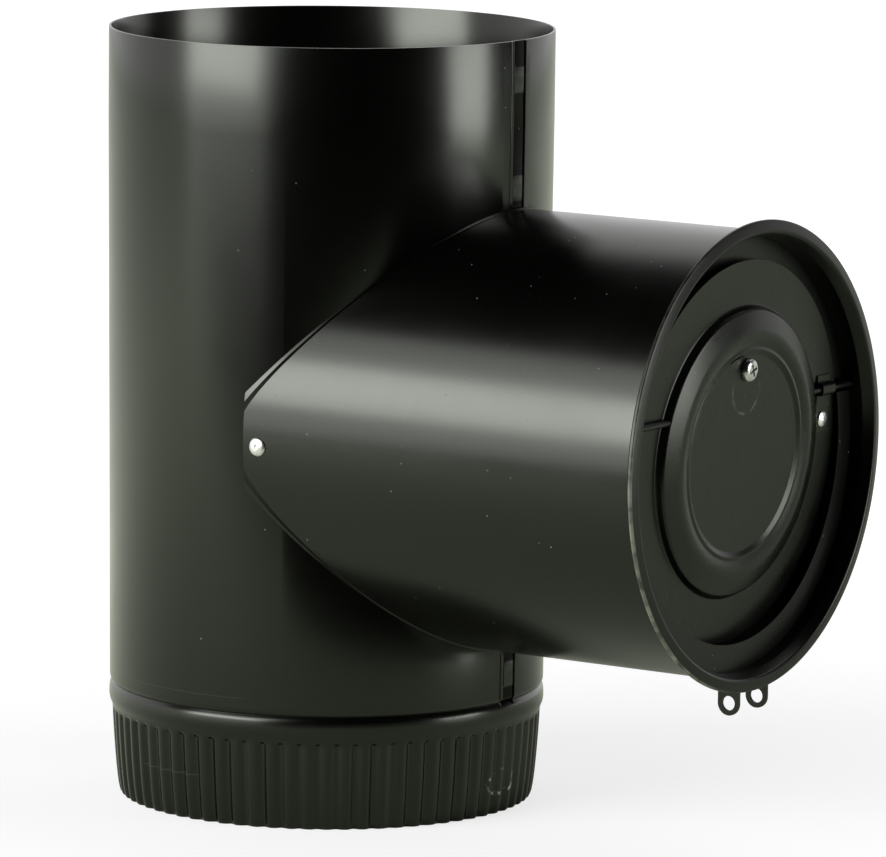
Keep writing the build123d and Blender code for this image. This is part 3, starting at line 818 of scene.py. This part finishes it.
@dataclass
class BlindRivet:
    """A blind rivet: domed head with the dimple of its broken pin, shank and bulb."""

    head_radius: float = 3.2
    head_height: float = 1.25
    shank_radius: float = 1.6
    grip: float = 2.2
    bulb_radius: float = 2.4
    bulb_length: float = 3.0

    def build(self, name: str) -> bpy.types.Object:
        """Models the rivet along -Z, with the underside of its head on z = 0.

        Args:
            name: the piece's name.

        Returns:
            The finished rivet.
        """
        head, top = self.head_radius, self.head_height
        dome = [(head * math.cos(a), 0.12 + (top - 0.12) * math.sin(a)) for a in
                (0.0, 0.16, 0.34, 0.55, 0.78, 1.0, 1.18)]
        rings = [(0.25, top * 0.55), (0.62, top * 0.55), (0.72, top * 0.62), (0.80, top * 0.97),
                 (0.98, top * 0.99)]
        rings += dome[::-1] + [(head * 0.97, 0.0), (self.shank_radius, 0.0), (self.shank_radius, -self.grip)]
        foot = -self.grip - self.bulb_length
        rings += [(self.bulb_radius * 0.75, -self.grip), (self.bulb_radius, -self.grip - 0.7),
                  (self.bulb_radius, foot + 0.8), (self.bulb_radius * 0.7, foot + 0.1), (0.4, foot)]
        piece = turned(name, rings, 40, capped=True)
        smooth(piece, 50.0)
        return piece


@dataclass
class SaddleRivets:
    """The two rivets at the saddle's tips."""

    branch: Branch
    rivet: BlindRivet = field(default_factory=lambda: BlindRivet(grip=2.55))
    seat: float = 75.56

    def build(self) -> bpy.types.Object:
        """Models one rivet and copies it to both sides."""
        x, z = self.branch.rivet_x, self.branch.height - self.branch.rivet_drop
        model = self.rivet.build("saddle_rivet")
        near = Matrix.Translation(Vector((x, -self.seat, z)) * MM) @ Matrix.Rotation(math.pi / 2, 4, "X")
        far = Matrix.Translation(Vector((x, self.seat, z)) * MM) @ Matrix.Rotation(-math.pi / 2, 4, "X")
        other = twin(model, "saddle_rivet_far", far)
        bake_place(model, near)
        return joined("saddle_rivet_pair", [model, other])

    def dress(self, rivets: bpy.types.Object, metal: bpy.types.Material) -> None:
        """Finishes the rivets in bright metal."""
        install(rivets, "tee", metal, ["saddle_rivets"])


# ---- Draft regulator ----


@dataclass
class RegulatorSleeve:
    """The sleeve in the branch's mouth, with its flared, hemmed rim."""

    branch: Branch
    radius: float = 73.3
    wall: float = 0.45
    depth: float = 26.0
    rim_inner_radius: float = 75.1
    rim_radius: float = 79.4
    rim_lean: float = 0.9
    flare_depth: float = 4.0
    hem_width: float = 2.0
    hem_thickness: float = 1.3

    def build(self) -> bpy.types.Object:
        """Models the sleeve's wall and rim.

        Returns:
            The finished piece.
        """
        edge = -self.rim_lean
        line = rounded([(self.radius, -self.depth), (self.radius, -self.flare_depth),
                        (self.rim_inner_radius, 0.0), (self.rim_radius - 0.6, edge * 0.85)], (1.2, 1.3), 6)
        hem = rounded([(self.rim_radius - 0.6, edge * 0.85), (self.rim_radius, edge),
                       (self.rim_radius, edge - self.hem_thickness),
                       (self.rim_radius - self.hem_width, edge - self.hem_thickness),
                       (self.rim_radius - self.hem_width, -self.wall - 0.5)], (0.55, 0.55, 0.2), 4)
        back = sheet_rings(line, -self.wall)[len(line):]
        rings = line + hem[1:] + back[1:]
        sleeve = turned("regulator_rim", rings, 240, closed=True)
        smooth(sleeve, 40.0)
        return bake_place(sleeve, self.branch.place(self.branch.reach))

    def dress(self, sleeve: bpy.types.Object, paint: bpy.types.Material) -> None:
        """Finishes the sleeve and its stop rings in stove paint."""
        install(sleeve, "tee", paint, ["regulator_sleeve"])
        dress_node("stop_rings", paint)


@dataclass
class Swing:
    """The gate's pivot and how far it stands open at rest."""

    pivot_x: float = 166.97
    pivot_z: float = 150.0
    rest_deg: float = 3.2

    def place(self) -> Matrix:
        """Turns a piece of the closed gate to where it rests."""
        pivot = Vector((self.pivot_x, 0, self.pivot_z)) * MM
        turn = Matrix.Rotation(math.radians(self.rest_deg), 4, "Y")
        return Matrix.Translation(pivot) @ turn @ Matrix.Translation(-pivot)


@dataclass
class Gate:
    """The pressed disc: flat ring, side wall, rounded bead, fine groove and flat middle."""

    branch: Branch
    swing: Swing
    front_x: float = 165.75
    raise_z: float = 0.6
    wall: float = 0.45
    radius: float = 65.0
    hat_radius: float = 49.6
    hat_height: float = 5.0
    shoulder_height: float = 2.6
    crest_radius: float = 40.2
    groove_radius: float = 36.4
    groove_height: float = 4.0
    dish_radius: float = 35.2
    dish_height: float = 4.3
    disc_radius: float = 33.5
    disc_height: float = 3.4

    def build(self) -> bpy.types.Object:
        """Models the gate closed and swings it to rest.

        Returns:
            The finished piece.
        """
        line = rounded([(0.6, self.disc_height), (self.disc_radius, self.disc_height),
                        (self.dish_radius, self.dish_height), (self.groove_radius, self.groove_height),
                        (self.crest_radius, self.hat_height), (self.hat_radius - 1.0, self.shoulder_height),
                        (self.hat_radius, 0.0), (self.radius, 0.0)], (1.5, 0.6, 0.8, 9.0, 1.6, 0.9), 7)
        gate = turned("gate_pressing", sheet_rings(line, -self.wall), 224, capped=True)
        smooth(gate, 40.0)
        place = Matrix.Translation(Vector((0, 0, self.raise_z)) * MM) @ self.branch.place(self.front_x)
        return bake_place(gate, self.swing.place() @ place)

    def dress(self, gate: bpy.types.Object, paint: bpy.types.Material) -> None:
        """Finishes the gate in its duller paint."""
        install(gate, "gate", paint, ["gate"])


@dataclass
class AdjustingScrew:
    """The zinc pan-head screw in the gate's middle, with a cross recess."""

    branch: Branch
    swing: Swing
    head_x: float = 169.20
    rise: float = 29.1
    y: float = -0.8
    head_radius: float = 4.0
    head_height: float = 2.4
    shank_radius: float = 2.0
    length: float = 10.0
    recess_depth: float = 1.25

    def build(self) -> bpy.types.Object:
        """Models the screw.

        Returns:
            The finished piece.
        """
        head, top = self.head_radius, self.head_height
        rings = [(0.5, top), (2.35, top - 0.04), (2.9, top - 0.16), (3.4, top - 0.42), (3.75, top - 0.8),
                 (3.95, top - 1.3), (head, top - 1.8), (head, 0.15), (head - 0.15, 0.0)]
        shank, foot = self.shank_radius, -self.length
        rings += [(shank, 0.0), (shank, 0.4 + foot), (shank - 0.5, foot), (0.4, foot)]
        screw = turned("adjusting_screw_head", rings, 48, capped=True)
        for turn in (0.0, math.pi / 2):
            clear_selection()
            middle = top - self.recess_depth / 2 + 0.05
            bpy.ops.mesh.primitive_cube_add(size=1.0, location=(0, 0, middle * MM),
                                            rotation=(0, 0, turn + 0.35))
            cutter = bpy.context.object
            cutter.scale = Vector((4.4, 0.95, self.recess_depth + 0.1)) * MM
            bpy.ops.object.transform_apply(location=True, rotation=True, scale=True)
            apply_modifier(screw, "BOOLEAN", operation="DIFFERENCE", object=cutter, solver="EXACT")
            bpy.data.objects.remove(cutter)
        smooth(screw, 32.0)
        shift = Matrix.Translation(Vector((0, self.y, self.rise)) * MM)
        return bake_place(screw, self.swing.place() @ shift @ self.branch.place(self.head_x))

    def dress(self, screw: bpy.types.Object, metal: bpy.types.Material) -> None:
        """Finishes the screw in zinc plate."""
        install(screw, "gate", metal, ["adjusting_screw"])


@dataclass
class AxleClip:
    """The rivet of the axle's clip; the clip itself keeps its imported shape."""

    branch: Branch
    swing: Swing
    rivet: BlindRivet = field(default_factory=lambda: BlindRivet(2.8, 0.98, grip=1.0, bulb_length=2.2))
    seat_x: float = 166.32
    y: float = 54.9
    rise: float = 5.5

    def build(self) -> bpy.types.Object:
        """Models the rivet in its place."""
        shift = Matrix.Translation(Vector((0, self.y, self.rise)) * MM)
        return bake_place(self.rivet.build("clip_rivet_head"),
                          self.swing.place() @ shift @ self.branch.place(self.seat_x))

    def dress(self, rivet: bpy.types.Object, metal: bpy.types.Material, paint: bpy.types.Material) -> None:
        """Finishes the rivet in bright metal, and the clip and the axle in the gate's paint."""
        install(rivet, "gate", metal, ["clip_rivet"])
        dress_node("axle_clip", paint)
        dress_node("gate_axle", paint)


@dataclass(frozen=True)
class BalanceWeight:
    """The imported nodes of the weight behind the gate, with its washer and nut."""

    nodes: tuple[str, ...] = ("balance_weight", "weight_washer", "weight_nut")

    def dress(self, metal: bpy.types.Material) -> None:
        """Finishes the nodes in zinc plate."""
        for node in self.nodes:
            dress_node(node, metal)


# ---- Studio ----


@dataclass
class Softbox:
    """A rectangular lamp that points at the object."""

    name: str
    direction_deg: float
    elevation_deg: float
    distance: float
    width: float
    height: float
    power: float

    def hang(self, target: Vector, camera_deg: float) -> None:
        """Hangs the lamp.

        Args:
            target: the point that it lights, in metres.
            camera_deg: the camera's direction, from which the lamp's own is counted.
        """
        turn = math.radians(camera_deg + self.direction_deg)
        rise = math.radians(self.elevation_deg)
        way = Vector((math.sin(turn) * math.cos(rise), -math.cos(turn) * math.cos(rise), math.sin(rise)))
        lamp = bpy.data.lights.new(self.name, "AREA")
        lamp.shape, lamp.size, lamp.size_y, lamp.energy = "RECTANGLE", self.width, self.height, self.power
        box = bpy.data.objects.new(self.name, lamp)
        bpy.context.scene.collection.objects.link(box)
        box.location = target + way * self.distance
        box.rotation_euler = way.to_track_quat("Z", "Y").to_euler()
        box.visible_camera = False
        LOG.info("%s hangs at %s", self.name, tuple(round(v, 2) for v in box.location))


@dataclass
class Studio:
    """Pale floor, white surroundings, soft lamps and the photograph's camera."""

    camera_deg: float = 33.741
    camera_tilt_deg: float = 8.562
    camera_roll: float = -0.01144
    camera_place: tuple[float, float, float] = (1.45686, -2.10986, 0.51362)
    lens: float = 303.93
    floor_size: float = 30.0
    table_edge: float = 0.42
    floor_glow: float = 0.72
    sweep_glow: float = 0.6
    sweep_turn_deg: float = 20.0
    sweep_start: float = -0.5
    far_glow: float = 1.02
    glow_reach: Point = (0.12, 0.75)
    sky_slant: float = 0.9
    sky_edge: Point = (-0.09, 0.07)
    sky_glow: float = 1.15
    room_glow: float = 0.003
    lamps: tuple[Softbox, ...] = (
        Softbox("key_softbox", -55.0, 19.0, 1.5, 1.3, 1.3, 14.5),
        Softbox("key_core", -57.0, 17.5, 1.42, 1.0, 0.46, 10.5),
        Softbox("side_softbox", 75.0, 8.5, 1.8, 0.75, 0.8, 15.5),
        Softbox("back_lamp", 142.0, 48.0, 1.9, 0.9, 0.9, 4.0),
    )

    def build(self) -> None:
        """Sets up the whole studio."""
        scene = bpy.context.scene
        scene.view_settings.view_transform = "Standard"
        self.set_camera(scene)
        self.lay_floor()
        self.paint_world(scene)
        for lamp in self.lamps:
            lamp.hang(Vector((0.04, 0.0, 0.14)), self.camera_deg)

    def facing(self, turn_deg: float = 0.0, rise: float = 0.0) -> tuple[float, float, float]:
        """The level way to the camera, turned by some degrees and with a Z part of its own."""
        turn = math.radians(self.camera_deg + turn_deg)
        return math.sin(turn), -math.cos(turn), rise

    def set_camera(self, scene: bpy.types.Scene) -> None:
        """Puts the camera where the photograph was taken from."""
        turn, tilt, roll = math.radians(self.camera_deg), math.radians(self.camera_tilt_deg), self.camera_roll
        ahead = Vector((-math.sin(turn) * math.cos(tilt), math.cos(turn) * math.cos(tilt), -math.sin(tilt)))
        right = Vector((math.cos(turn), math.sin(turn), 0))
        down = ahead.cross(right)
        across = right * math.cos(roll) + down * math.sin(roll)
        below = down * math.cos(roll) - right * math.sin(roll)
        data = bpy.data.cameras.new("photo_camera")
        data.sensor_width, data.sensor_fit, data.lens = 36.0, "HORIZONTAL", self.lens
        data.clip_start, data.clip_end = 0.05, 60.0
        camera = bpy.data.objects.new("photo_camera", data)
        scene.collection.objects.link(camera)
        camera.matrix_world = Matrix.Translation(self.camera_place) @ Matrix(
            (across, -below, -ahead)).transposed().to_4x4()
        scene.camera = camera

    def lay_floor(self) -> None:
        """Lays the pale floor. What it sends to the object is dark beyond the table's front edge."""
        clear_selection()
        bpy.ops.mesh.primitive_plane_add(size=self.floor_size)
        floor = bpy.context.object
        floor.name = "floor"
        recipe = Recipe("pale_floor")
        nodes, links = recipe.tree.nodes, recipe.tree.links
        toward, glowing = (recipe.add("VectorMath", {0: recipe.place, 1: self.facing(turn_deg)},
                                      operation="DOT_PRODUCT").outputs["Value"]
                           for turn_deg in (0.0, self.sweep_turn_deg))
        table = recipe.between(toward, self.table_edge, self.table_edge + 0.12, 1.0, 0.0)
        seen = recipe.add("LightPath")
        pale = recipe.blend(table, (0.004, 0.004, 0.004), (0.77, 0.83, 0.67))
        matt = recipe.add("BsdfDiffuse", {"Color": pale})
        fading = recipe.between(glowing, self.sweep_start, 0.0, self.sweep_glow, 0.0)
        sweep = recipe.add("Emission", {"Color": (0.95, 1.0, 0.88, 1), "Strength": fading})
        unlit = recipe.add("AddShader", {0: matt.outputs[0], 1: sweep.outputs[0]})
        shown = recipe.add("BsdfDiffuse", {"Color": (0.34, 0.34, 0.34, 1)})
        away = recipe.add("VectorMath", {0: recipe.place}, operation="LENGTH").outputs["Value"]
        growing = recipe.between(away, *self.glow_reach, self.floor_glow, self.far_glow)
        glow = recipe.add("Emission", {"Color": (1, 1, 1, 1), "Strength": growing})
        white = recipe.add("AddShader", {0: shown.outputs[0], 1: glow.outputs[0]})
        mixed = recipe.add("MixShader", {0: seen.outputs["Is Camera Ray"], 1: unlit.outputs[0],
                                         2: white.outputs[0]})
        links.new(mixed.outputs[0], nodes["Material Output"].inputs["Surface"])
        nodes.remove(recipe.shader)
        floor.data.materials.append(recipe.material)

    def paint_world(self, scene: bpy.types.Scene) -> None:
        """Paints the surroundings: white behind the object, and a dark room in front of it and above."""
        world = bpy.data.worlds.new("studio")
        world.use_nodes = True
        scene.world = world
        tree = world.node_tree
        tree.nodes.clear()

        def add(kind: str, **settings: object) -> bpy.types.Node:
            """Adds a node to the world."""
            node = tree.nodes.new("ShaderNode" + kind)
            for key, value in settings.items():
                setattr(node, key, value)
            return node

        toward = add("VectorMath", operation="DOT_PRODUCT")
        toward.inputs[1].default_value = self.facing(self.sweep_turn_deg, self.sky_slant)
        tree.links.new(add("TexCoord").outputs["Generated"], toward.inputs[0])
        sweep = add("MapRange", clamp=True)
        for name, value in zip(("From Min", "From Max", "To Min", "To Max"), (*self.sky_edge, 1.0, 0.0)):
            sweep.inputs[name].default_value = value
        tree.links.new(toward.outputs["Value"], sweep.inputs["Value"])
        room = add("Math", operation="MULTIPLY_ADD")
        tree.links.new(sweep.outputs[0], room.inputs[0])
        room.inputs[1].default_value, room.inputs[2].default_value = self.sky_glow, self.room_glow
        seen = add("LightPath")
        shown = add("Math", operation="MAXIMUM")
        tree.links.new(seen.outputs["Is Camera Ray"], shown.inputs[0])
        tree.links.new(room.outputs[0], shown.inputs[1])
        back = add("Background")
        back.inputs["Color"].default_value = (1, 1, 1, 1)
        tree.links.new(shown.outputs[0], back.inputs["Strength"])
        tree.links.new(back.outputs[0], add("OutputWorld").inputs["Surface"])


def main() -> None:
    """Builds and dresses every sub-assembly, then the studio."""
    logging.basicConfig(level=logging.INFO, format="%(name)s: %(message)s")
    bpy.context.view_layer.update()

    run_paint = RunPaint("satin_stove_paint", speck_share=0.06).make()
    branch_paint = StovePaint("satin_stove_paint_dusty", speck_share=0.45).make()
    sleeve_paint = RimPaint("dull_stove_paint", roughness=(0.27, 0.33), index=1.36, speck_share=0.12).make()
    gate_paint = GatePaint("dull_gate_paint").make()
    zinc = PlatedMetal("zinc_plate", (0.74, 0.75, 0.74)).make()
    rivet_metal = PlatedMetal("rivet_aluminium", (0.92, 0.93, 0.92), (0.3, 0.42)).make()

    run = RunPipe()
    run.dress(run.build(), run_paint)
    branch = Branch()
    branch.dress(branch_paint)
    saddle_rivets = SaddleRivets(branch)
    saddle_rivets.dress(saddle_rivets.build(), rivet_metal)

    swing = Swing()
    sleeve = RegulatorSleeve(branch)
    sleeve.dress(sleeve.build(), sleeve_paint)
    gate = Gate(branch, swing)
    gate.dress(gate.build(), gate_paint)
    screw = AdjustingScrew(branch, swing)
    screw.dress(screw.build(), zinc)
    clip = AxleClip(branch, swing)
    clip.dress(clip.build(), rivet_metal, gate_paint)
    BalanceWeight().dress(zinc)

    Studio().build()
    clear_selection()


if __name__ == "__main__":
    main()
